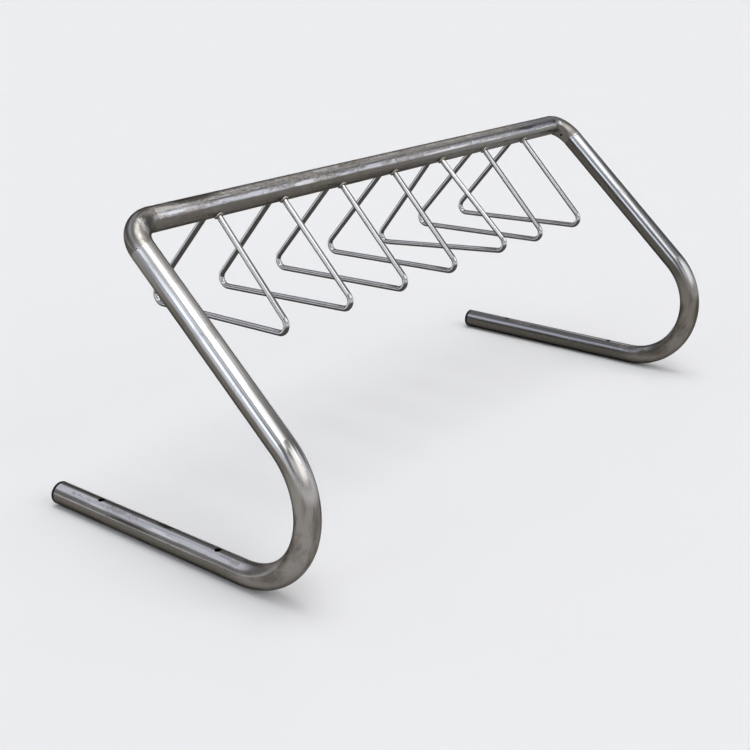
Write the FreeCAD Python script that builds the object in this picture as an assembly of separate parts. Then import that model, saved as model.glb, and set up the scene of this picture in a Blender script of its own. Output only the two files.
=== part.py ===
import FreeCAD, Part
import math
import os

# Floor-standing cycle rack of bare stainless steel, all sizes in millimetres.
#
# Two side frames, each one bent tube, stand on their straight feet. Long-radius welding elbows
# turn the tops of their legs into one level bar. Seven triangular hoops of round rod hang from
# the bar, and a cycle's wheel stands between two of them. Everything is welded. The feet are
# drilled for floor anchors, and black plastic inserts close their open ends.
#
# +X runs along the bar to the right, +Y goes from the bends of the feet back to their open ends,
# and +Z is up. The origin is in the middle of the rack's footprint, on the floor.

Vector = FreeCAD.Vector

# ---- Driving dimensions ----

# Main tube
TUBE_DIAMETER = 48.3
TUBE_WALL = 2.6

# Side frames: each axis is a foot and a leg, measured from the point where the two would cross
FRAME_WIDTH = 1500.0
LEG_ANGLE = 42.0
LEG_LENGTH = 900.0
FOOT_LENGTH = 940.0
FOOT_BEND_RADIUS = 160.0

# Welding elbows at the two top corners, with one vent hole in the inner side of each
ELBOW_RADIUS = 57.0
VENT_DIAMETER = 7.0
VENT_ANGLE = 40.0
VENT_TILT = 7.0

# Floor anchor holes, straight down through each foot
ANCHOR_DIAMETER = 14.0
ANCHOR_FROM_END = 130.0
ANCHOR_SPACING = 330.0

# Hoops: bent rods, closed at the top by the bar. Each was welded on by hand, at its own tilt.
HOOP_TILTS = (0.5, 2.0, 1.5, 1.5, 5.0, 1.5, 2.0)
HOOP_PITCH = 180.0
ROD_DIAMETER = 12.0
HOOP_DEPTH = 222.0
HOOP_BASE = 404.0
HOOP_BEND_RADIUS = 18.0

# Butt welds between the square end of an elbow and the bevelled end of a straight tube. They are
# ground down until hardly any crown stands above the tube.
WELD_ROOT_GAP = 1.2
WELD_WIDTH = 4.4
WELD_CROWN = 0.15

# Fillet welds round the tops of the hoop rods
BEAD_WIDTH = 4.0
BEAD_HEIGHT = 5.0

# Plastic inserts in the open ends of the feet
PLUG_HEAD = 5.0
PLUG_CHAMFER = 1.5
PLUG_STEM_LENGTH = 20.0
PLUG_STEM_DIAMETER = 38.0
PLUG_STEM_WALL = 2.5
PLUG_FIN_COUNT = 3
PLUG_FIN_PITCH = 5.5
PLUG_FIN_THICKNESS = 1.0

# ---- Derived dimensions ----

tube_radius = TUBE_DIAMETER / 2
bore_radius = tube_radius - TUBE_WALL
rod_radius = ROD_DIAMETER / 2
leg_radians = math.radians(LEG_ANGLE)
foot_turn = math.pi - leg_radians
bend_tangent = FOOT_BEND_RADIUS * math.tan(foot_turn / 2)
bend_front = bend_tangent - FOOT_BEND_RADIUS - tube_radius
foot_back = FOOT_LENGTH + PLUG_HEAD

# The crossing point of foot and leg, from which the side frames are measured
crossing_y = -(bend_front + foot_back) / 2
crossing_z = tube_radius

x_axis = Vector(1, 0, 0)
y_axis = Vector(0, 1, 0)
z_axis = Vector(0, 0, 1)
leg_direction = Vector(0, math.cos(leg_radians), math.sin(leg_radians))
bar_middle = Vector(0, crossing_y, crossing_z) + leg_direction * LEG_LENGTH
side_names = {"left": -1, "right": 1}


def crossing(side):
    """The point where a side frame's foot and leg axes cross."""
    return Vector(side * FRAME_WIDTH / 2, crossing_y, crossing_z)


def corner(side):
    """The point where a leg's axis meets the bar's axis."""
    return Vector(side * FRAME_WIDTH / 2, bar_middle.y, bar_middle.z)


# ---- General forms ----

def bent_path(points, radius):
    """A wire through the points, with an arc of one radius at each point between the ends."""
    edges = []
    start = points[0]
    for before, apex, after in zip(points, points[1:], points[2:]):
        to_before = (before - apex).normalize()
        to_after = (after - apex).normalize()
        half_angle = to_before.getAngle(to_after) / 2
        tangent = radius / math.tan(half_angle)
        inward = (to_before + to_after).normalize()
        middle = apex + inward * (radius / math.sin(half_angle) - radius)
        arc_start = apex + to_before * tangent
        arc_end = apex + to_after * tangent
        edges.append(Part.LineSegment(start, arc_start).toShape())
        edges.append(Part.Arc(arc_start, middle, arc_end).toShape())
        start = arc_end
    edges.append(Part.LineSegment(start, points[-1]).toShape())
    return Part.Wire(edges)


def disc(radius, centre, normal):
    """A flat round face."""
    return Part.Face(Part.Wire(Part.makeCircle(radius, centre, normal)))


def ring(outer, inner, centre, normal):
    """A flat ring, the cross-section of a tube."""
    return disc(outer, centre, normal).cut(disc(inner, centre, normal)).Faces[0]


def swept(section, path):
    """A solid swept by a flat section along a path."""
    return path.makePipeShell([section.OuterWire], True, False)


def turned(points, centre, direction):
    """A solid of revolution. Points are (radius, height above the centre, along the direction)."""
    frame = FreeCAD.Placement(centre, FreeCAD.Rotation(z_axis, direction))
    outline = [frame.multVec(Vector(radius, 0, height)) for radius, height in points]
    face = Part.Face(Part.makePolygon(outline + outline[:1]))
    return face.revolve(centre, direction, 360)


# ---- Main tube ----

def butt_weld(centre, direction):
    """The ring of weld metal that fills the bevel of a straight tube, up to an elbow's square end.

    The centre is the middle of the elbow's end, and the direction points into the straight tube.
    """
    section = [
        (bore_radius, 0),
        (tube_radius, 0),
        (tube_radius + WELD_CROWN, WELD_WIDTH / 2),
        (tube_radius, WELD_WIDTH),
        (bore_radius, WELD_ROOT_GAP),
    ]
    return turned(section, centre, direction)


def leg_joint(side):
    """The middle of an elbow's lower end, with the direction down into the leg."""
    return corner(side) - leg_direction * ELBOW_RADIUS, leg_direction * -1


def bar_joint(side):
    """The middle of an elbow's upper end, with the direction into the bar."""
    into_bar = x_axis * -side
    return corner(side) + into_bar * ELBOW_RADIUS, into_bar


def anchor_points(side):
    """The two places on a foot's axis that are drilled for floor anchors."""
    first = crossing(side) + y_axis * (FOOT_LENGTH - ANCHOR_FROM_END)
    return [first, first - y_axis * ANCHOR_SPACING]


def side_frame(side):
    """One tube: the foot, the big bend and the leg up to the elbow."""
    free_end = crossing(side) + y_axis * FOOT_LENGTH
    top_end = leg_joint(side)[0]
    path = bent_path([free_end, crossing(side), top_end], FOOT_BEND_RADIUS)
    outside = swept(disc(tube_radius, free_end, y_axis), path)
    inside = swept(disc(bore_radius, free_end, y_axis), path)
    tube = outside.cut(inside)
    for point in anchor_points(side):
        drill_start = point - z_axis * TUBE_DIAMETER
        drill = Part.makeCylinder(ANCHOR_DIAMETER / 2, 2 * TUBE_DIAMETER, drill_start, z_axis)
        tube = tube.cut(drill)
    return tube.cut(butt_weld(*leg_joint(side)))


def elbow(side):
    """A quarter bend between leg and bar, with a vent hole in its inner side."""
    start = leg_joint(side)[0]
    into_bar = bar_joint(side)[1]
    turn_centre = start + into_bar * ELBOW_RADIUS
    turn_axis = leg_direction.cross(into_bar)
    section = ring(tube_radius, bore_radius, start, leg_direction)
    body = section.revolve(turn_centre, turn_axis, 90)

    vent_radians = math.radians(VENT_ANGLE)
    outward = into_bar * -math.cos(vent_radians) + leg_direction * math.sin(vent_radians)
    tube_centre = turn_centre + outward * ELBOW_RADIUS
    upward = turn_axis * side
    tilt_radians = math.radians(VENT_TILT)
    drill_direction = outward * -math.cos(tilt_radians) - upward * math.sin(tilt_radians)
    return body.cut(Part.makeCylinder(VENT_DIAMETER / 2, TUBE_DIAMETER, tube_centre, drill_direction))


def top_bar():
    """The level tube between the elbows."""
    start = bar_joint(-1)[0]
    length = FRAME_WIDTH - 2 * ELBOW_RADIUS
    outside = Part.makeCylinder(tube_radius, length, start, x_axis)
    bar = outside.cut(Part.makeCylinder(bore_radius, length, start, x_axis))
    return bar.cut(butt_weld(*bar_joint(-1))).cut(butt_weld(*bar_joint(1)))


# ---- Hoops ----

def hoop_corners(index):
    """The bar's centre above a hoop, and the points where its rod's straight parts would cross."""
    tilt = math.radians(HOOP_TILTS[index])
    middle_hoop = (len(HOOP_TILTS) - 1) / 2
    apex = bar_middle + x_axis * ((index - middle_hoop) * HOOP_PITCH)
    across = Vector(0, math.cos(tilt), -math.sin(tilt)) * (HOOP_BASE / 2)
    down = Vector(0, -math.sin(tilt), -math.cos(tilt)) * HOOP_DEPTH
    return apex, apex + down - across, apex + down + across


def bar_envelope(apex):
    """The solid outline of the bar round one hoop's top."""
    return Part.makeCylinder(tube_radius, HOOP_PITCH, apex - x_axis * (HOOP_PITCH / 2), x_axis)


def hoop(index):
    """One rod bent to a triangle, with its two ends coped to fit the bar."""
    apex, front, rear = hoop_corners(index)
    front_end = apex + (front - apex).normalize() * (tube_radius / 2)
    rear_end = apex + (rear - apex).normalize() * (tube_radius / 2)
    path = bent_path([front_end, front, rear, rear_end], HOOP_BEND_RADIUS)
    rod = swept(disc(rod_radius, front_end, front - apex), path)
    return rod.cut(bar_envelope(apex))


def hoop_bead(index, towards_front):
    """The fillet of weld metal round one end of a hoop, on the bar's underside."""
    apex, front, rear = hoop_corners(index)
    along_rod = ((front if towards_front else rear) - apex).normalize()
    bar_surface = apex + along_rod * tube_radius
    depth = tube_radius / 3
    slope = BEAD_WIDTH / BEAD_HEIGHT
    section = [
        (rod_radius, -depth),
        (rod_radius + BEAD_WIDTH + slope * depth, -depth),
        (rod_radius, BEAD_HEIGHT),
    ]
    return turned(section, bar_surface, along_rod).cut(bar_envelope(apex))


# ---- Plastic inserts ----

def end_plug(side):
    """A push-in insert: a chamfered head, and a hollow stem with thin fins that grip the bore."""
    seat = crossing(side) + y_axis * FOOT_LENGTH
    stem_radius = PLUG_STEM_DIAMETER / 2
    hollow_radius = stem_radius - PLUG_STEM_WALL
    section = [
        (0, 0),
        (hollow_radius, 0),
        (hollow_radius, -PLUG_STEM_LENGTH),
        (stem_radius, -PLUG_STEM_LENGTH),
    ]
    for count in range(PLUG_FIN_COUNT, 0, -1):
        inner_face = -count * PLUG_FIN_PITCH
        outer_face = inner_face + PLUG_FIN_THICKNESS
        section += [
            (stem_radius, inner_face),
            (bore_radius, inner_face),
            (bore_radius, outer_face),
            (stem_radius, outer_face),
        ]
    section += [
        (stem_radius, 0),
        (tube_radius, 0),
        (tube_radius, PLUG_HEAD - PLUG_CHAMFER),
        (tube_radius - PLUG_CHAMFER, PLUG_HEAD),
        (0, PLUG_HEAD),
    ]
    return turned(section, seat, y_axis)


# ---- The rack ----

def build_nodes():
    """Every piece, by the name of its node."""
    nodes = {"top_bar": top_bar()}
    for name, side in side_names.items():
        nodes["side_frame_" + name] = side_frame(side)
        nodes["corner_elbow_" + name] = elbow(side)
        nodes["leg_weld_" + name] = butt_weld(*leg_joint(side))
        nodes["bar_weld_" + name] = butt_weld(*bar_joint(side))
        nodes["end_plug_" + name] = end_plug(side)
    for index in range(len(HOOP_TILTS)):
        name = "hoop_" + str(index + 1)
        nodes[name] = hoop(index)
        nodes[name + "_front_weld"] = hoop_bead(index, True)
        nodes[name + "_rear_weld"] = hoop_bead(index, False)
    return nodes


def main():
    os.makedirs("parts", exist_ok=True)
    for name, shape in build_nodes().items():
        solid = shape.Solids[0]
        print(name, len(shape.Solids), solid.isValid(), round(solid.Volume))
        solid.exportStep("parts/" + name + ".step")


main()
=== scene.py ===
# %% [markdown]
# # A floor-standing cycle rack of bare stainless steel
#
# The real rack is tube and rod, welded by hand: two side frames bent from one tube each, two
# welding elbows, a level bar, and seven triangular hoops of round rod under it. The solids are
# already right in shape and place, because they come from the same model that the rack would be
# made from. This lesson gives them what a workshop and years outdoors give them: a drawn finish
# that runs along the tube, grime on the undersides, scuffs, and weld beads laid by hand. The
# undersides' brown-grey is partly that grime and partly a painted reflection of dark ground.

# %% Load the frame
import math

import bpy
from mathutils import Matrix, Vector


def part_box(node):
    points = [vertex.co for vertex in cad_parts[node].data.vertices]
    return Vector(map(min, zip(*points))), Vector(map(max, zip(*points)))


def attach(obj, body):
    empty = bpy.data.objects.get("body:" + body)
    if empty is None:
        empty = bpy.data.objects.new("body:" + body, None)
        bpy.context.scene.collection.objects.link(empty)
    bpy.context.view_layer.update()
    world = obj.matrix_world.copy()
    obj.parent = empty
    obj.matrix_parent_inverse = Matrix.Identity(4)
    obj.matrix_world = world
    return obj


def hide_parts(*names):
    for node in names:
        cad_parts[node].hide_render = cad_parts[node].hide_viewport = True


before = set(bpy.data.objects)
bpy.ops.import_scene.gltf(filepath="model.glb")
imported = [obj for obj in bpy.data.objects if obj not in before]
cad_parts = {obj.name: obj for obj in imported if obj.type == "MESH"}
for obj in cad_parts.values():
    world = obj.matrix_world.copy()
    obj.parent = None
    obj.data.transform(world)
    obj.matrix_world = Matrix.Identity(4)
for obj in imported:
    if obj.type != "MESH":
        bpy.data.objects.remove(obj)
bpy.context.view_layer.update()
print("solids loaded:", len(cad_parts))

# %% [markdown]
# ## Where things are
#
# The tube's radius, the bar's axis and the feet's ends are read from the boxes of the solids, so
# the finish stays on the steel if the rack's sizes change. Only what a box can't show is written
# down here: the slope of the legs and the radius of the bends.

# %% Sizes of the tube and its path
LEG_SLOPE = math.radians(42)
BEND_RADIUS = 0.160
ELBOW_RADIUS = 0.057

bar_low, bar_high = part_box("top_bar")
tube_radius = (bar_high.z - bar_low.z) / 2
bar_axis = (bar_low + bar_high) / 2

leg_direction = Vector((0, math.cos(LEG_SLOPE), math.sin(LEG_SLOPE)))
leg_outward = Vector((0, -math.sin(LEG_SLOPE), math.cos(LEG_SLOPE)))
leg_length = (bar_axis.z - tube_radius) / math.sin(LEG_SLOPE)
crossing = Vector((0, bar_axis.y, bar_axis.z)) - leg_direction * leg_length
bend_turn = math.pi - LEG_SLOPE
bend_centre = crossing + Vector((0, BEND_RADIUS * math.tan(bend_turn / 2), BEND_RADIUS))
bend_end = bend_centre + leg_outward * BEND_RADIUS
bend_length = BEND_RADIUS * bend_turn
leg_end = bend_length + (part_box("corner_elbow_left")[0].z - bend_end.z) / math.sin(LEG_SLOPE)

rod_low, rod_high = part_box("hoop_1")
rod_radius = (rod_high.x - rod_low.x) / 2
hoop_count = sum(name.startswith("hoop_") and name.count("_") == 1 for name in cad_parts)
print("tube", round(tube_radius * 2000, 1), "mm, rod", round(rod_radius * 2000, 1), "mm")
print("hoops:", hoop_count)

# %% [markdown]
# ## A small language for materials
#
# A steel surface is a sum of many faint patterns, so its node tree gets large. Written as Python
# arithmetic it stays readable: a Signal stands for one output of a node, and adding, multiplying
# or comparing Signals adds the Math nodes. The weld beads use the same class in Geometry Nodes.

# %% The Signal class
class Signal:
    """One output of a node. Arithmetic on it adds Math nodes to the same tree."""

    def __init__(self, tree, socket=None):
        self.tree = tree
        self.socket = socket

    def node(self, kind, inputs=None, output=0, prefix="ShaderNode", **settings):
        """Adds a node of any kind: first its settings, then the values or links of its inputs."""
        node = self.tree.nodes.new(prefix + kind)
        for name, value in settings.items():
            setattr(node, name, value)
        for key, value in (inputs or {}).items():
            if isinstance(value, Signal):
                self.tree.links.new(value.socket, node.inputs[key])
            else:
                node.inputs[key].default_value = value
        return Signal(self.tree, node.outputs[output]) if node.outputs else None

    def geometry(self, kind, inputs=None, output=0, **settings):
        """The same for a node that only Geometry Nodes have."""
        return self.node(kind, inputs, output, prefix="GeometryNode", **settings)

    def math(self, operation, other=0.0):
        return self.node("Math", {0: self, 1: other}, operation=operation)

    def __add__(self, other):
        return self.math("ADD", other)

    def __sub__(self, other):
        return self.math("SUBTRACT", other)

    def __rsub__(self, other):
        return self.node("Math", {0: other, 1: self}, operation="SUBTRACT")

    def __mul__(self, other):
        return self.math("MULTIPLY", other)

    def __gt__(self, other):
        return self.math("GREATER_THAN", other)

    def __lt__(self, other):
        return self.math("LESS_THAN", other)

    __radd__ = __add__
    __rmul__ = __mul__

    def ramp(self, low, high):
        """A smooth step that goes from 0 at low to 1 at high. High may be the smaller one."""
        span = {"Value": self, "From Min": low, "From Max": high}
        return self.node("MapRange", span, interpolation_type="SMOOTHSTEP")

    def between(self, dark, light):
        """A colour from dark, where this is 0, to light, where it is 1."""
        ends = {0: self, 6: as_colour(dark), 7: as_colour(light)}
        return self.node("Mix", ends, output=2, data_type="RGBA")

    def parts(self):
        """The three parts of a vector."""
        split = self.node("SeparateXYZ", {0: self})
        outputs = split.socket.node.outputs
        return [Signal(self.tree, socket) for socket in outputs]


def as_colour(value):
    """A colour with its fourth part, as a Mix node wants it. A Signal stays as it is."""
    return value if isinstance(value, Signal) else (*value, 1)


def join(x, y, z):
    """A vector from three Signals."""
    return x.node("CombineXYZ", {0: x, 1: y, 2: z})


def noise(place, scale, detail=2.0, roughness=0.5, distortion=0.0):
    """Cloudy noise from about 0 to 1, with scale in features per metre."""
    values = {"Vector": place, "Scale": scale, "Detail": detail}
    values.update({"Roughness": roughness, "Distortion": distortion})
    return place.node("TexNoise", values, output="Fac")


def begin_material(name):
    """A new material, with a Signal to build its tree from."""
    material = bpy.data.materials.new(name)
    material.use_nodes = True
    material.node_tree.nodes.clear()
    return material, Signal(material.node_tree)


def end_material(start, colour, roughness, bump, shader):
    """Joins colour, roughness and relief in one shader. Shader holds the shader's fixed values."""
    height, depth = bump
    normal = start.node("Bump", {"Height": height, "Strength": 1.0, "Distance": depth})
    inputs = {"Base Color": colour, "Roughness": roughness, "Normal": normal}
    inputs.update(shader)
    surface = start.node("BsdfPrincipled", inputs)
    start.node("OutputMaterial", {"Surface": surface})


print("material language ready")

# %% [markdown]
# ## The camera
#
# The camera stands in front of the rack and to its left, 1.1 metres above the floor, and looks down
# by twenty degrees. Its place, its turn and its lens were fitted together to the outlines of the
# tubes in the photograph.

# %% Camera
CAMERA_PLACE = (-2.0571, -1.5218, 1.1003)
CAMERA_HEADING = math.radians(51.13)
CAMERA_DOWN = math.radians(20.27)
CAMERA_ROLL = math.radians(-0.38)
CAMERA_LENS = 56.40
SENSOR_WIDTH = 36
CAMERA_SHIFT = (0.00704, -0.00666)

camera = bpy.data.objects.new("camera", bpy.data.cameras.new("camera"))
bpy.context.scene.collection.objects.link(camera)
heading = Matrix.Rotation(-CAMERA_HEADING, 4, "Z")
tilt = Matrix.Rotation(math.pi / 2 - CAMERA_DOWN, 4, "X")
roll = Matrix.Rotation(CAMERA_ROLL, 4, "Z")
camera.matrix_world = Matrix.Translation(CAMERA_PLACE) @ (heading @ tilt) @ roll
camera.data.lens = CAMERA_LENS
camera.data.sensor_width = SENSOR_WIDTH
camera.data.shift_x, camera.data.shift_y = CAMERA_SHIFT
bpy.context.scene.camera = camera
print("camera lens", camera.data.lens, "mm")

# %% [markdown]
# ## Floor and light
#
# Polished tube shows what stands round it more than its own colour. So the light matters as much
# as the material: a pale floor, a calm grey studio, and soft lit panels on the studio's walls.
# The panels' places and levels were set by comparing the streaks along the tubes with those in the
# photograph. They are painted on the world, which is as far away as the horizon, so every part of
# the rack sees them at the same angle, and the floor is lit evenly. Low down they fade into a pale
# haze of the floor's own tone, so that little of them shows behind the rack.

# %% Floor
FLOOR_SIZE = 200.0
FLOOR_COLOUR = (0.86, 0.867, 0.88)
FLOOR_PATCHES = 0.985


def floor_material():
    """Matt pale grey, with patches that are a little darker."""
    material, start = begin_material("studio floor")
    place = start.node("TexCoord", output="Object")
    cloud = noise(place, 3.0, detail=3.0)
    tone = cloud.between([FLOOR_PATCHES * part for part in FLOOR_COLOUR], FLOOR_COLOUR)
    end_material(start, tone, 0.9 + cloud * 0.05, (cloud, 0.0002), {"Specular IOR Level": 0.0})
    return material


half = FLOOR_SIZE / 2
floor_mesh = bpy.data.meshes.new("studio floor")
floor_corners = [(-half, -half, 0), (half, -half, 0), (half, half, 0), (-half, half, 0)]
floor_mesh.from_pydata(floor_corners, [], [(0, 1, 2, 3)])
floor_mesh.materials.append(floor_material())
floor = bpy.data.objects.new("studio floor", floor_mesh)
bpy.context.scene.collection.objects.link(floor)
print("floor", FLOOR_SIZE, "m square")

# %% Light
WARM = (1.0, 0.99, 0.975)
ROSY = (1.0, 0.955, 0.92)
COOL = (0.86, 0.91, 1.0)
PALE = (0.86, 0.88, 0.98)
LILAC = (0.77, 0.81, 1.0)
SURROUND = (0.190, 0.187, 0.186)
SOFT_EDGE = math.radians(4)
CEILING_LAMP = 0.84
CEILING_SPREAD = math.radians(34)
SLANT_HEADING = math.radians(169)
SLANT_HEIGHT = math.radians(59)
SLANT_EDGE = (-0.03, 0.07)
HORIZON = (0.848, 0.855, 0.868)
HORIZON_EDGE = (math.radians(8), math.radians(3))

# Each panel: heading of its middle, from +Y towards +X, its width, its lowest and its highest edge,
# all in degrees, then its brightness and its colour. SLANTED stands for a lowest edge that slants:
# it lies on one great circle, which is highest at SLANT_HEADING. A later panel covers earlier ones.
SLANTED = None
PANELS = {
    "large panel behind the camera": (-174, 98, SLANTED, 80, 2.60, WARM),
    "high panel on the right": (118, 30, SLANTED, 66, 1.05, WARM),
    "dim panel beside it": (92, 22, SLANTED, 60, 0.52, WARM),
    "lower panel behind the camera": (174, 58, 15, 49, 1.80, WARM),
    "high strip on the left": (-107, 20, 37, 66, 1.05, COOL),
    "low panel in front on the left": (-140, 40, 14, 34, 0.85, WARM),
    "bright strip on the left": (-88, 18, 12, 46, 2.05, COOL),
    "low glow on the left": (-82, 36, -6, 12, 1.00, LILAC),
    "low panel in front on the right": (130, 24, -6, 34, 1.22, PALE),
    "panel on the right": (66, 28, 14, 50, 0.95, ROSY),
    "dark card at the back": (40, 40, 4, 20, 0.06, ROSY),
    "high panel at the back": (-19, 94, 31, 52, 0.84, PALE),
}


def studio_walls():
    """The world's shader: a grey studio with soft-edged lit panels above a pale horizon."""
    world = bpy.data.worlds.new("studio")
    world.use_nodes = True
    world.node_tree.nodes.clear()
    start = Signal(world.node_tree)
    x, y, z = start.node("TexCoord", output="Generated").parts()
    height = z.math("ARCSINE")
    toward_slant = x * math.sin(SLANT_HEADING) + y * math.cos(SLANT_HEADING)
    over_slant = z * math.cos(SLANT_HEIGHT) - toward_slant * math.sin(SLANT_HEIGHT)
    above_slant = over_slant.ramp(*SLANT_EDGE)
    light = SURROUND
    for heading, width, low, high, brightness, tint in PANELS.values():
        turn = math.radians(heading)
        forward = x * math.sin(turn) + y * math.cos(turn)
        sideways = x * math.cos(turn) - y * math.sin(turn)
        away = sideways.math("ARCTAN2", forward).math("ABSOLUTE")
        half_width = math.radians(width / 2)
        high_edge = math.radians(high)
        across = away.ramp(half_width + SOFT_EDGE, half_width - SOFT_EDGE)
        below = height.ramp(high_edge + SOFT_EDGE, high_edge - SOFT_EDGE)
        above = above_slant
        if low is not SLANTED:
            low_edge = math.radians(low)
            above = height.ramp(low_edge - SOFT_EDGE, low_edge + SOFT_EDGE)
        light = (across * above * below).between(light, [brightness * part for part in tint])
    light = height.ramp(*HORIZON_EDGE).between(light, HORIZON)
    background = start.node("Background", {"Color": light, "Strength": 1.0})
    start.node("OutputWorld", {"Surface": background})
    return world


bpy.context.scene.world = studio_walls()

ceiling = bpy.data.objects.new("ceiling lamp", bpy.data.lights.new("ceiling lamp", "SUN"))
ceiling.data.angle = CEILING_SPREAD
ceiling.data.energy = CEILING_LAMP
bpy.context.scene.collection.objects.link(ceiling)
bpy.context.scene.view_settings.view_transform = "Standard"
print("lit panels:", len(PANELS))

# %% [markdown]
# ## The space along a tube
#
# A tube is drawn through a die before it is bent, so its fine lines run along it and follow its
# bends. A texture laid in plain space would cut straight through a bend. These cells work out, for
# any point of a side frame or an elbow, how far along the tube it is and where it is in the tube's
# section, as if the tube were straightened again.

# %% Straightened coordinates of a side frame
def straightened_frame(place, middle_x):
    """(along the tube from the start of the bend, sideways, outwards from the tube's axis)."""
    x, y, z = place.parts()
    back = y - bend_centre.y
    up = z - bend_centre.z
    along_leg = (y - bend_end.y) * leg_direction.y + (z - bend_end.z) * leg_direction.z
    out_leg = (y - bend_end.y) * leg_outward.y + (z - bend_end.z) * leg_outward.z
    on_foot = (back > 0) * (up < 0)
    on_leg = (along_leg > 0) * (up > 0)
    on_bend = 1 - on_foot - on_leg
    angle = (back * -1).math("ARCTAN2", up * -1)
    reach = (back * back + up * up).math("SQRT")
    turned = angle + (angle < 0) * (2 * math.pi)
    along = on_leg * (along_leg + bend_length) - on_foot * back + on_bend * turned * BEND_RADIUS
    out = on_leg * out_leg - on_foot * (up + BEND_RADIUS) + on_bend * (reach - BEND_RADIUS)
    return along, x - middle_x, out


# %% Straightened coordinates of an elbow
def straightened_elbow(place, side):
    """The same for an elbow, which turns from the leg into the bar. Side is -1 or 1."""
    x, y, z = place.parts()
    corner = Vector((side * -bar_low.x + side * ELBOW_RADIUS, bar_axis.y, bar_axis.z))
    centre = corner - leg_direction * ELBOW_RADIUS - Vector((side * ELBOW_RADIUS, 0, 0))
    up_leg = (y - centre.y) * leg_direction.y + (z - centre.z) * leg_direction.z
    outward = (x - centre.x) * side
    across = (y - centre.y) * leg_outward.y + (z - centre.z) * leg_outward.z
    along = up_leg.math("ARCTAN2", outward) * ELBOW_RADIUS
    reach = (up_leg * up_leg + outward * outward).math("SQRT")
    return along, across, reach - ELBOW_RADIUS


def stretched(space, stretch):
    """Straightened coordinates squeezed lengthwise, so that a noise on them becomes streaks."""
    along, sideways, out = space
    return join(along * (1 / stretch), sideways, out)


print("bend of", round(bend_length * 1000), "mm along the tube")

# %% [markdown]
# ## Marks of use
#
# Some marks are no pattern at all: a boot's scuff, a spot polished by a lock, a drop of tar. Each
# is a ragged patch round one point of the surface. A list says where they are, and one function
# turns the list into a mask.

# %% Ragged patches
RAG_SCALE = 1.6
RAG_DEPTH = 2.6
RAG_EDGE = (1.15, 0.80)


def ragged_patches(place, marks):
    """1 inside the marks, 0 outside. Each mark is (middle, half size), both in metres."""
    mask = None
    for middle, half_size in marks:
        offset = place.node("VectorMath", {0: place, 1: middle}, operation="SUBTRACT")
        scaled = offset.node("VectorMath", {0: offset, 1: half_size}, operation="DIVIDE")
        distance = scaled.node("VectorMath", {0: scaled}, output="Value", operation="LENGTH")
        rag = noise(scaled, RAG_SCALE, detail=6.0, roughness=0.7) - 0.5
        patch = (distance + rag * RAG_DEPTH).ramp(*RAG_EDGE)
        mask = patch if mask is None else mask.math("MAXIMUM", patch)
    return mask


SMUDGES = {
    "elbow left": (
        ((-0.718, 0.050, 0.636), (0.014, 0.018, 0.020)),
        ((-0.706, 0.045, 0.618), (0.008, 0.012, 0.012)),
    ),
    "bar": (
        ((-0.635, 0.054, 0.622), (0.012, 0.010, 0.005)),
        ((-0.600, 0.070, 0.651), (0.070, 0.012, 0.006)),
        ((0.540, 0.058, 0.640), (0.045, 0.006, 0.004)),
        ((0.690, 0.058, 0.640), (0.012, 0.008, 0.005)),
    ),
    "frame left": (
        ((-0.745, 0.036, 0.049), (0.008, 0.020, 0.004)),
        ((-0.774, -0.028, 0.027), (0.004, 0.016, 0.002)),
        ((-0.774, -0.060, 0.026), (0.004, 0.010, 0.001)),
        ((-0.773, -0.150, 0.030), (0.003, 0.003, 0.003)),
        ((-0.774, -0.180, 0.023), (0.004, 0.014, 0.002)),
        ((-0.773, -0.336, 0.163), (0.006, 0.012, 0.003)),
        ((-0.770, 0.120, 0.036), (0.006, 0.060, 0.002)),
    ),
    "frame right": (
        ((0.728, -0.221, 0.043), (0.008, 0.012, 0.008)),
    ),
}
POLISHED = {
    "elbow left": (((-0.733, 0.042, 0.630), (0.009, 0.026, 0.018)),),
    "elbow right": (((0.711, 0.055, 0.631), (0.005, 0.007, 0.014)),),
    "bar": (
        ((-0.655, 0.062, 0.642), (0.050, 0.012, 0.009)),
        ((-0.300, 0.057, 0.634), (0.030, 0.006, 0.004)),
        ((0.303, 0.058, 0.637), (0.003, 0.008, 0.010)),
        ((0.200, 0.057, 0.632), (0.090, 0.006, 0.003)),
        ((0.380, 0.056, 0.630), (0.050, 0.006, 0.003)),
        ((0.640, 0.055, 0.628), (0.055, 0.006, 0.005)),
    ),
    "frame left": (
        ((-0.768, 0.031, 0.041), (0.006, 0.045, 0.006)),
        ((-0.769, 0.215, 0.039), (0.006, 0.040, 0.004)),
        ((-0.770, -0.080, 0.037), (0.006, 0.050, 0.003)),
        ((-0.768, -0.190, 0.041), (0.010, 0.025, 0.008)),
    ),
    "frame right": (((0.736, -0.155, 0.044), (0.008, 0.009, 0.008)),),
}
mark_groups = [*SMUDGES.values(), *POLISHED.values()]
print("marks of use:", sum(len(group) for group in mark_groups))

# %% [markdown]
# ## Bare steel
#
# Every steel piece here is the same metal with another history, so one function makes them all.
# Its patterns are: fine drawn lines and wider worn bands along the tube, cloudy patches where the
# skin is rubbed dull, brown-grey grime and a painted reflection of dark ground wherever the surface
# faces the ground, and the marks of use. Dull patches are rougher as well as darker, so a bright
# reflection breaks up on them. The brown-grey undersides are partly grime and partly painted
# reflection: they stand in for the dark ground that real tube would mirror, since this floor is
# pale.

# %% Steel
STEEL = {"Metallic": 1.0, "Specular Tint": (0.20, 0.195, 0.19, 1)}
RELIEF_DEPTH = 0.0004

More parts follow.
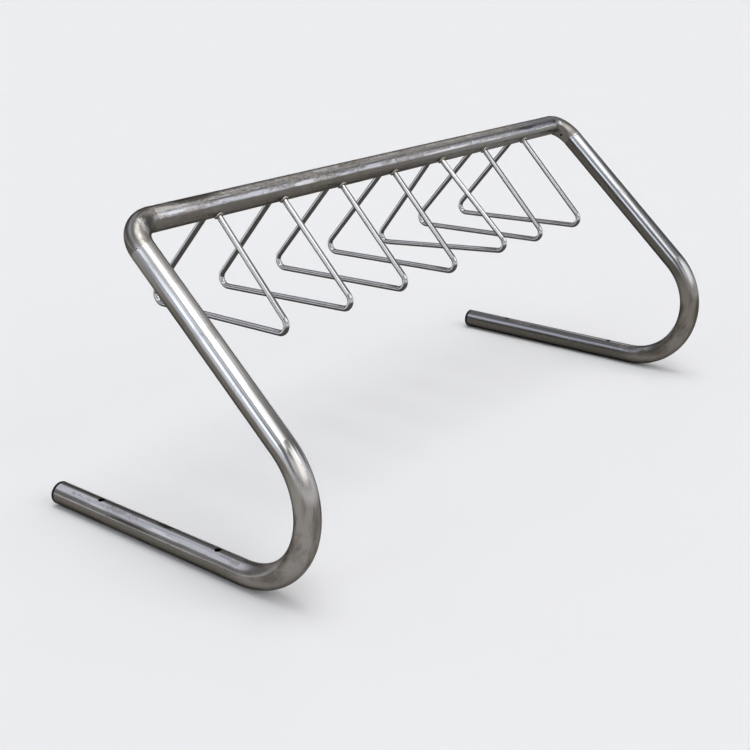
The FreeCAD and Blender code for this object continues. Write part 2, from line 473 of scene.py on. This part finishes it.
# Where two patterns are added, the share of each. An edge is where a ramp starts and ends.
LINES_SHARE = 0.45
BANDS_SHARE = 0.55
BRUSHED_EDGE = (0.30, 0.70)
WORN_ROUGHNESS = 0.05
BANDS_IN_RUBBED = 0.3
DULL_EDGE = (0.42, 0.60)
BANDS_IN_GRIME_AND_REFLECTION = 0.16
GRIME_ROUGHNESS = 0.10
POLISHED_COLOUR = (0.74, 0.73, 0.72)
POLISHED_GLOSS = 0.04
SMUDGE_COLOUR = (0.085, 0.078, 0.070)
SMUDGE_STRENGTH = 0.85
SMUDGE_ROUGHNESS = 0.15
BANDS_RELIEF = 0.10
RUBBED_RELIEF = 0.10


def steel(start, space, look, smudge=None, polish=None, underside_reach=0.0):
    """Colour, roughness and relief of one steel finish. Space is (along, sideways, out).

    Smudge and polish are masks. The last argument lets the undersides' grime and painted reflection
    reach higher up the sides.
    """
    facing = start.node("TexCoord", output="Normal").parts()[2] - underside_reach
    lines = noise(stretched(space, 50), 260, detail=2.0)
    bands = noise(stretched(space, 14), 80, detail=3.0, roughness=0.6)
    drift = stretched(space, 2.2)
    cloud = noise(drift, look["cloud_scale"], detail=6.0, roughness=0.68, distortion=0.4)
    grain = noise(stretched(space, 3), 300, detail=3.0, roughness=0.6)
    dents = noise(stretched(space, 2), 17, detail=1.0)

    brushed = (lines * LINES_SHARE + bands * BANDS_SHARE).ramp(*BRUSHED_EDGE)
    clean = brushed.between(look["dark"], look["light"])
    rubbed = (cloud + (bands - 0.5) * BANDS_IN_RUBBED).ramp(*look["rubbed_edge"]) * look["rubbed"]
    speckle = (grain * 0.5 + cloud * 0.5).ramp(*DULL_EDGE)
    dull = speckle.between(look["rubbed_dark"], look["rubbed_light"])
    colour = rubbed.between(clean, dull)
    worn = (1 - brushed) * WORN_ROUGHNESS
    roughness = look["roughness"] + worn + rubbed * look["rubbed_rough"]
    if polish:
        colour = polish.between(colour, POLISHED_COLOUR)
        roughness = roughness - polish * POLISHED_GLOSS
    if smudge:
        colour = (smudge * SMUDGE_STRENGTH).between(colour, SMUDGE_COLOUR)
        roughness = roughness + smudge * SMUDGE_ROUGHNESS
    # Grime and painted reflection: where the surface faces the ground it is darker and browner,
    # partly as grime and partly as a painted reflection of dark ground.
    grime_and_reflection_mask = (facing + (bands - 0.5) * BANDS_IN_GRIME_AND_REFLECTION).ramp(*look["grime_and_reflection_edge"])
    colour = grime_and_reflection_mask.between(colour, grain.between(look["grime_and_reflection_dark"], look["grime_and_reflection_light"]))
    roughness = roughness + grime_and_reflection_mask * GRIME_ROUGHNESS
    relief = dents * look["dents"] + bands * BANDS_RELIEF + cloud * rubbed * RUBBED_RELIEF
    return colour, roughness, relief


TUBE_LOOK = {
    "dark": (0.50, 0.497, 0.50),
    "light": (0.66, 0.655, 0.655),
    "cloud_scale": 30,
    "rubbed": 0.45,
    "rubbed_edge": (0.50, 0.66),
    "rubbed_dark": (0.20, 0.19, 0.18),
    "rubbed_light": (0.44, 0.43, 0.42),
    "rubbed_rough": 0.16,
    "grime_and_reflection_dark": (0.125, 0.114, 0.100),
    "grime_and_reflection_light": (0.200, 0.185, 0.164),
    "grime_and_reflection_edge": (0.27, 0.11),
    "roughness": 0.12,
    "dents": 0.8,
}

# In the photograph the right frame looks darker. The painted world can't show each frame
# surroundings of its own, so the right frame's steel is darker instead.
# The right frame's darker steel and darker grime are a painted reflection of darker surroundings.
RIGHT_LOOK = dict(TUBE_LOOK)
RIGHT_LOOK.update({
    "dark": (0.385, 0.395, 0.415),
    "light": (0.52, 0.53, 0.55),
    "grime_and_reflection_dark": (0.078, 0.070, 0.058),
    "grime_and_reflection_light": (0.130, 0.118, 0.100),
    "dents": 1.2,
})
FRAME_LOOKS = {"left": TUBE_LOOK, "right": RIGHT_LOOK}
# The bends' brown-grey is partly a stain and partly a painted reflection of the brown ground that a
# bend mirrors.
BEND_COLOURS_STAIN_AND_REFLECTION = {
    "left": ((0.165, 0.138, 0.114), (0.38, 0.355, 0.33)),
    "right": ((0.105, 0.088, 0.070), (0.27, 0.245, 0.215)),
}

# Places along a side frame, in metres from the start of its bend, so the foot's are negative. Only
# BEND_END_EDGE counts from the end of the bend, LEG_DULL_REACH from the end of the leg, and END_RIM
# from the open end of the foot.
FOOT_RUBBED_EDGE = (0.04, -0.06)
FOOT_RUBBED = 0.45
BEND_START_EDGE = (-0.05, 0.05)
BEND_END_EDGE = (0.01, -0.10)
STAIN_AND_REFLECTION_ON_BENDS = 0.6
EDGE_OF_STAIN_AND_REFLECTION = (0.38, 0.62)
BEND_ROUGHNESS = 0.14
# On the foot, the undersides' grime and painted reflection reach higher up the sides. This fades
# out along the bend between these places.
UNDERSIDE_REACH_EDGE = (bend_length * 0.8, bend_length * 0.3)
UNDERSIDE_REACH_STRENGTH = 0.17
LEG_DULL_REACH = 0.11
LEG_DULL_STRENGTH = 0.5
LEG_DULL_COLOUR = (0.38, 0.37, 0.355)
LEG_DULL_ROUGHNESS = 0.08
END_RIM = 0.0045
RIM_BLACK = (0.02, 0.02, 0.02)
RIM_ROUGHNESS = 0.3


def side_frame_steel(side, middle_x, end_y):
    """The finish of one bent side frame. Its bend is stained and darkened, partly as a painted
    reflection of dark ground. On its foot the undersides' grime and painted reflection reach higher
    up the sides, and the foot is rubbed.

    The left leg is duller near its elbow, as in the photograph. A thin rim at the open end, which
    lies at end_y, is painted black, because the insert's own rim shows too little of it.
    """
    material, start = begin_material("drawn tube steel, " + side)
    place = start.node("TexCoord", output="Object")
    space = straightened_frame(place, middle_x)
    along = space[0]
    smudge = ragged_patches(place, SMUDGES["frame " + side])
    polish = ragged_patches(place, POLISHED["frame " + side])
    underside_reach = along.ramp(*UNDERSIDE_REACH_EDGE) * UNDERSIDE_REACH_STRENGTH
    look = dict(FRAME_LOOKS[side])
    look["rubbed"] = along.ramp(*FOOT_RUBBED_EDGE) * FOOT_RUBBED + look["rubbed"]
    colour, roughness, relief = steel(start, space, look, smudge, polish, underside_reach)
    near_bend = along.ramp(*BEND_START_EDGE) * (along - bend_length).ramp(*BEND_END_EDGE)
    if side == "left":
        near_elbow = along.ramp(leg_end - LEG_DULL_REACH, leg_end)
        colour = (near_elbow * LEG_DULL_STRENGTH).between(colour, LEG_DULL_COLOUR)
        roughness = roughness + near_elbow * LEG_DULL_ROUGHNESS
    clouds = noise(stretched(space, 2.5), 26, detail=4.0, roughness=0.6, distortion=0.6)
    stain_and_reflection = clouds.ramp(*EDGE_OF_STAIN_AND_REFLECTION).between(*BEND_COLOURS_STAIN_AND_REFLECTION[side])
    with_bend_tone = (near_bend * STAIN_AND_REFLECTION_ON_BENDS).between(colour, stain_and_reflection)
    rim = place.parts()[1].ramp(end_y - END_RIM, end_y - END_RIM / 2)
    finish = rim.between(with_bend_tone, RIM_BLACK)
    roughness = roughness + near_bend * BEND_ROUGHNESS + rim * RIM_ROUGHNESS
    end_material(start, finish, roughness, (relief, RELIEF_DEPTH), STEEL)
    return material


ELBOW_LOOK = dict(TUBE_LOOK)
ELBOW_LOOK.update({
    "dark": (0.30, 0.288, 0.272),
    "light": (0.46, 0.448, 0.432),
    "rubbed": 0.75,
    "rubbed_edge": (0.42, 0.60),
    "rubbed_dark": (0.13, 0.118, 0.104),
    "rubbed_light": (0.42, 0.40, 0.375),
    "roughness": 0.25,
})


def elbow_steel(name, side):
    """The finish of a welding elbow, duller and rougher than drawn tube."""
    material, start = begin_material("welding elbow steel, " + name)
    place = start.node("TexCoord", output="Object")
    polish = ragged_patches(place, POLISHED["elbow " + name])
    marks = SMUDGES.get("elbow " + name)
    smudge = ragged_patches(place, marks) if marks else None
    space = straightened_elbow(place, side)
    colour, roughness, relief = steel(start, space, ELBOW_LOOK, smudge, polish)
    end_material(start, colour, roughness, (relief, RELIEF_DEPTH), STEEL)
    return material


BAR_LOOK = dict(TUBE_LOOK)
BAR_LOOK.update({
    "cloud_scale": 38,
    "rubbed_edge": (0.40, 0.58),
    "rubbed_dark": (0.12, 0.11, 0.10),
    "rubbed_light": (0.50, 0.475, 0.45),
    "rubbed_rough": 0.24,
    "grime_and_reflection_edge": (0.25, 0.10),
    "roughness": 0.13,
})
# The bar's finish changes towards the right, between these places on its length, in metres.
RIGHTWARD = (-0.2, 0.5)
RIGHT_END = (0.42, 0.66)
# The right end's dark, bluish tone is a painted reflection of a bluish streak along the bar.
RIGHT_END_REFLECTION_DARK = (0.31, 0.33, 0.375)
RIGHT_END_REFLECTION_LIGHT = (0.46, 0.485, 0.55)
BAR_RUBBED = 0.9
RUBBED_LOSS = 0.45
RIGHT_GRIME_AND_REFLECTION_DARK = (0.21, 0.20, 0.19)
RIGHT_GRIME_AND_REFLECTION_LIGHT = (0.36, 0.345, 0.325)


def bar_steel():
    """The bar, mottled on top. Its right half is less rubbed, and its right end is dark and bluish,
    as a painted reflection.
    """
    material, start = begin_material("scuffed bar steel")
    place = start.node("TexCoord", output="Object")
    x, y, z = place.parts()
    space = (x, y - bar_axis.y, z - bar_axis.z)
    smudge = ragged_patches(place, SMUDGES["bar"])
    polish = ragged_patches(place, POLISHED["bar"])
    rightward = x.ramp(*RIGHTWARD)
    look = dict(BAR_LOOK)
    right_end_reflection = x.ramp(*RIGHT_END)
    look["dark"] = right_end_reflection.between(BAR_LOOK["dark"], RIGHT_END_REFLECTION_DARK)
    look["light"] = right_end_reflection.between(BAR_LOOK["light"], RIGHT_END_REFLECTION_LIGHT)
    look["rubbed"] = BAR_RUBBED - rightward * RUBBED_LOSS
    look["grime_and_reflection_dark"] = rightward.between(BAR_LOOK["grime_and_reflection_dark"], RIGHT_GRIME_AND_REFLECTION_DARK)
    look["grime_and_reflection_light"] = rightward.between(BAR_LOOK["grime_and_reflection_light"], RIGHT_GRIME_AND_REFLECTION_LIGHT)
    colour, roughness, relief = steel(start, space, look, smudge, polish)
    end_material(start, colour, roughness, (relief, RELIEF_DEPTH), STEEL)
    return material


ROD_LOOK = dict(TUBE_LOOK)
ROD_LOOK.update({
    "dark": (0.55, 0.55, 0.555),
    "light": (0.62, 0.62, 0.63),
    "rubbed": 0.2,
    "grime_and_reflection_dark": (0.060, 0.055, 0.050),
    "grime_and_reflection_light": (0.120, 0.112, 0.105),
    "grime_and_reflection_edge": (0.06, -0.12),
    "roughness": 0.10,
    "dents": 0.0,
})
ROD_STEEL = dict(STEEL)
ROD_STEEL["Specular Tint"] = (0.10, 0.10, 0.10, 1)


def rod_steel():
    """The hoops' drawn rod: brighter than the tube, with less relief."""
    material, start = begin_material("drawn rod steel")
    x, y, z = start.node("TexCoord", output="Object").parts()
    colour, roughness, relief = steel(start, (z, x, y), ROD_LOOK)
    end_material(start, colour, roughness, (relief, RELIEF_DEPTH / 4), ROD_STEEL)
    return material


WELD_LOOK = dict(TUBE_LOOK)
WELD_LOOK.update({
    "dark": (0.34, 0.33, 0.325),
    "light": (0.55, 0.54, 0.53),
    "grime_and_reflection_edge": (0.10, -0.30),
    "rubbed": 0.6,
    "roughness": 0.22,
    "dents": 0.2,
})
NO_TINT = (1, 1, 1)
STRAW_TINT = (1.0, 0.88, 0.72)
BLUE_TINT = (0.76, 0.78, 0.95)


def weld_steel():
    """Weld metal, brushed after welding, with a straw and blue heat tint in places."""
    material, start = begin_material("brushed weld metal")
    place = start.node("TexCoord", output="Object")
    colour, roughness, relief = steel(start, place.parts(), WELD_LOOK)
    heat = noise(place, 90, detail=2.0)
    straw = heat.ramp(0.50, 0.62).between(NO_TINT, STRAW_TINT)
    tint = heat.ramp(0.66, 0.74).between(straw, BLUE_TINT)
    layers = {0: 1.0, 6: colour, 7: tint}
    tinted = start.node("Mix", layers, output=2, data_type="RGBA", blend_type="MULTIPLY")
    end_material(start, tinted, roughness, (relief, RELIEF_DEPTH / 2), STEEL)
    return material


PLASTIC_BLACK = (0.008, 0.008, 0.009)
PLASTIC_DUST = (0.026, 0.025, 0.023)


def insert_plastic():
    """Black moulded plastic with a fine spark-eroded grain and a little dust."""
    material, start = begin_material("black insert plastic")
    place = start.node("TexCoord", output="Object")
    pores = noise(place, 2200, detail=2.0)
    dust = noise(place, 120, detail=4.0).ramp(0.52, 0.75)
    colour = dust.between(PLASTIC_BLACK, PLASTIC_DUST)
    end_material(start, colour, 0.50 + dust * 0.25, (pores, 0.00008), {"Specular IOR Level": 0.2})
    return material


rod_finish = rod_steel()
weld_finish = weld_steel()
plastic_finish = insert_plastic()
bar_finish = bar_steel()
print("materials:", len(bpy.data.materials))

# %% [markdown]
# ## Dressing the solids
#
# A solid whose shape is right keeps its mesh, and only its material is exchanged. Each side
# frame and elbow has a finish of its own, because the finish is told where its tube runs. The
# ring welds were ground nearly flush, so each takes the finish of the tube beside it.

# %% Assign the finishes
dressed = []


def dress(node, material):
    """Exchanges the material of one solid."""
    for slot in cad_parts[node].material_slots:
        slot.material = material
    dressed.append(node)


dress("top_bar", bar_finish)
for side, sign in (("left", -1), ("right", 1)):
    low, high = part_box("side_frame_" + side)
    middle_x = (low.x + high.x) / 2
    frame_finish = side_frame_steel(side, middle_x, high.y)
    dress("side_frame_" + side, frame_finish)
    dress("leg_weld_" + side, frame_finish)
    dress("corner_elbow_" + side, elbow_steel(side, sign))
    dress("bar_weld_" + side, bar_finish)
    dress("end_plug_" + side, plastic_finish)
for index in range(hoop_count):
    dress("hoop_" + str(index + 1), rod_finish)
print("solids dressed:", len(dressed))

# %% [markdown]
# ## Weld beads
#
# A hand-laid bead is a row of overlapping ripples, one for each dip of the filler rod. It follows
# the saddle where the rod meets the round bar. That path has a formula, and the ripples repeat,
# so Geometry Nodes suit it: a circle of points is lifted onto the saddle, its thickness is made
# to pulse, and a round section is swept along it.

# %% Tree of the bead
BEAD_RADIUS = 0.0030
BEAD_OFFSET = 0.0011
RIPPLES = 22
RIPPLE_DEPTH = 0.16
POINTS_PER_RIPPLE = 6
SECTION_POINTS = 12
UNEVEN_SCALE = 160.0
THINNEST = 0.82
UNEVENNESS = 0.36


def bead_tree():
    """The tree that sweeps a rippled bead along the saddle of a rod on a bar."""
    tree = bpy.data.node_groups.new("weld bead", "GeometryNodeTree")
    sizes = ("Bar radius", "Rod radius", "Bead radius", "Ripples", "Ripple depth", "Seed")
    for name in sizes:
        tree.interface.new_socket(name, in_out="INPUT", socket_type="NodeSocketFloat")
    tree.interface.new_socket("Material", in_out="INPUT", socket_type="NodeSocketMaterial")
    tree.interface.new_socket("Bead", in_out="OUTPUT", socket_type="NodeSocketGeometry")
    given = tree.nodes.new("NodeGroupInput")
    inputs = [Signal(tree, socket) for socket in given.outputs]
    bar, rod, bead, ripples, depth, seed, finish = inputs[:7]

    points = RIPPLES * POINTS_PER_RIPPLE
    circle = bar.geometry("CurvePrimitiveCircle", {"Resolution": points, "Radius": 1.0})
    across = bar.geometry("InputPosition")
    cosine, sine = across.parts()[:2]
    reach = rod * sine
    lift = (bar * bar - reach * reach).math("SQRT")
    saddle = bar.node("CombineXYZ", {0: rod * cosine, 1: reach, 2: lift})
    path = circle.geometry("SetPosition", {"Geometry": circle, "Position": saddle})

    place = bar.geometry("InputIndex") * (math.pi / points)
    ripple = (place * ripples).math("SINE").math("ABSOLUTE")
    around = {"Vector": across, "Scale": UNEVEN_SCALE, "W": seed}
    uneven = bar.node("TexNoise", around, noise_dimensions="4D")
    thickness = bead * (1 - depth + ripple * depth) * (THINNEST + uneven * UNEVENNESS)
    section = bar.geometry("CurvePrimitiveCircle", {"Resolution": SECTION_POINTS, "Radius": 1.0})
    sweep = {"Curve": path, "Profile Curve": section, "Scale": thickness}
    skin = path.geometry("CurveToMesh", sweep)
    smooth = skin.geometry("SetShadeSmooth", {"Geometry": skin})
    real = smooth.geometry("RealizeInstances", {"Geometry": smooth})
    done = real.geometry("SetMaterial", {"Geometry": real, "Material": finish})
    result = tree.nodes.new("NodeGroupOutput")
    tree.links.new(done.socket, result.inputs[0])
    return tree


bead_nodes = bead_tree()
print("bead tree nodes:", len(bead_nodes.nodes))

# %% Beads round the hoops' ends
def evaluated(name, tree, values):
    """The mesh that a Geometry Nodes tree makes from these inputs."""
    holder = bpy.data.objects.new(name, bpy.data.meshes.new(name))
    bpy.context.scene.collection.objects.link(holder)
    modifier = holder.modifiers.new(name, "NODES")
    modifier.node_group = tree
    sockets = {item.name: item.identifier for item in tree.interface.items_tree}
    for socket, value in values.items():
        modifier[sockets[socket]] = value
    holder.update_tag()
    graph = bpy.context.evaluated_depsgraph_get()
    mesh = bpy.data.meshes.new_from_object(holder.evaluated_get(graph))
    bpy.data.objects.remove(holder)
    return mesh


def middle_of(node):
    """The mean of a solid's vertices."""
    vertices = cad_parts[node].data.vertices
    return sum((vertex.co for vertex in vertices), Vector()) / len(vertices)


def fillet_bead(node, seed):
    """One rippled bead in place of a plain fillet, square to its rod."""
    values = {
        "Bar radius": tube_radius + BEAD_OFFSET,
        "Rod radius": rod_radius + BEAD_OFFSET,
        "Bead radius": BEAD_RADIUS,
        "Ripples": float(RIPPLES),
        "Ripple depth": RIPPLE_DEPTH,
        "Seed": float(seed),
        "Material": weld_finish,
    }
    mesh = evaluated(node + "_bead", bead_nodes, values)
    middle = middle_of(node)
    on_axis = Vector((middle.x, bar_axis.y, bar_axis.z))
    along_bar = Vector((1, 0, 0))
    along_rod = (middle - on_axis).normalized()
    across = along_rod.cross(along_bar)
    stand = Matrix((along_bar, across, along_rod)).transposed().to_4x4()
    mesh.transform(Matrix.Translation(on_axis) @ stand)
    piece = bpy.data.objects.new(node + "_bead", mesh)
    bpy.context.scene.collection.objects.link(piece)
    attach(piece, "root")
    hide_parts(node)
    return piece


beads = []
for index in range(hoop_count):
    for end in ("front", "rear"):
        fillet = "hoop_" + str(index + 1) + "_" + end + "_weld"
        beads.append(fillet_bead(fillet, len(beads)))
print("beads:", len(beads), "with", len(beads[0].data.polygons), "faces each")
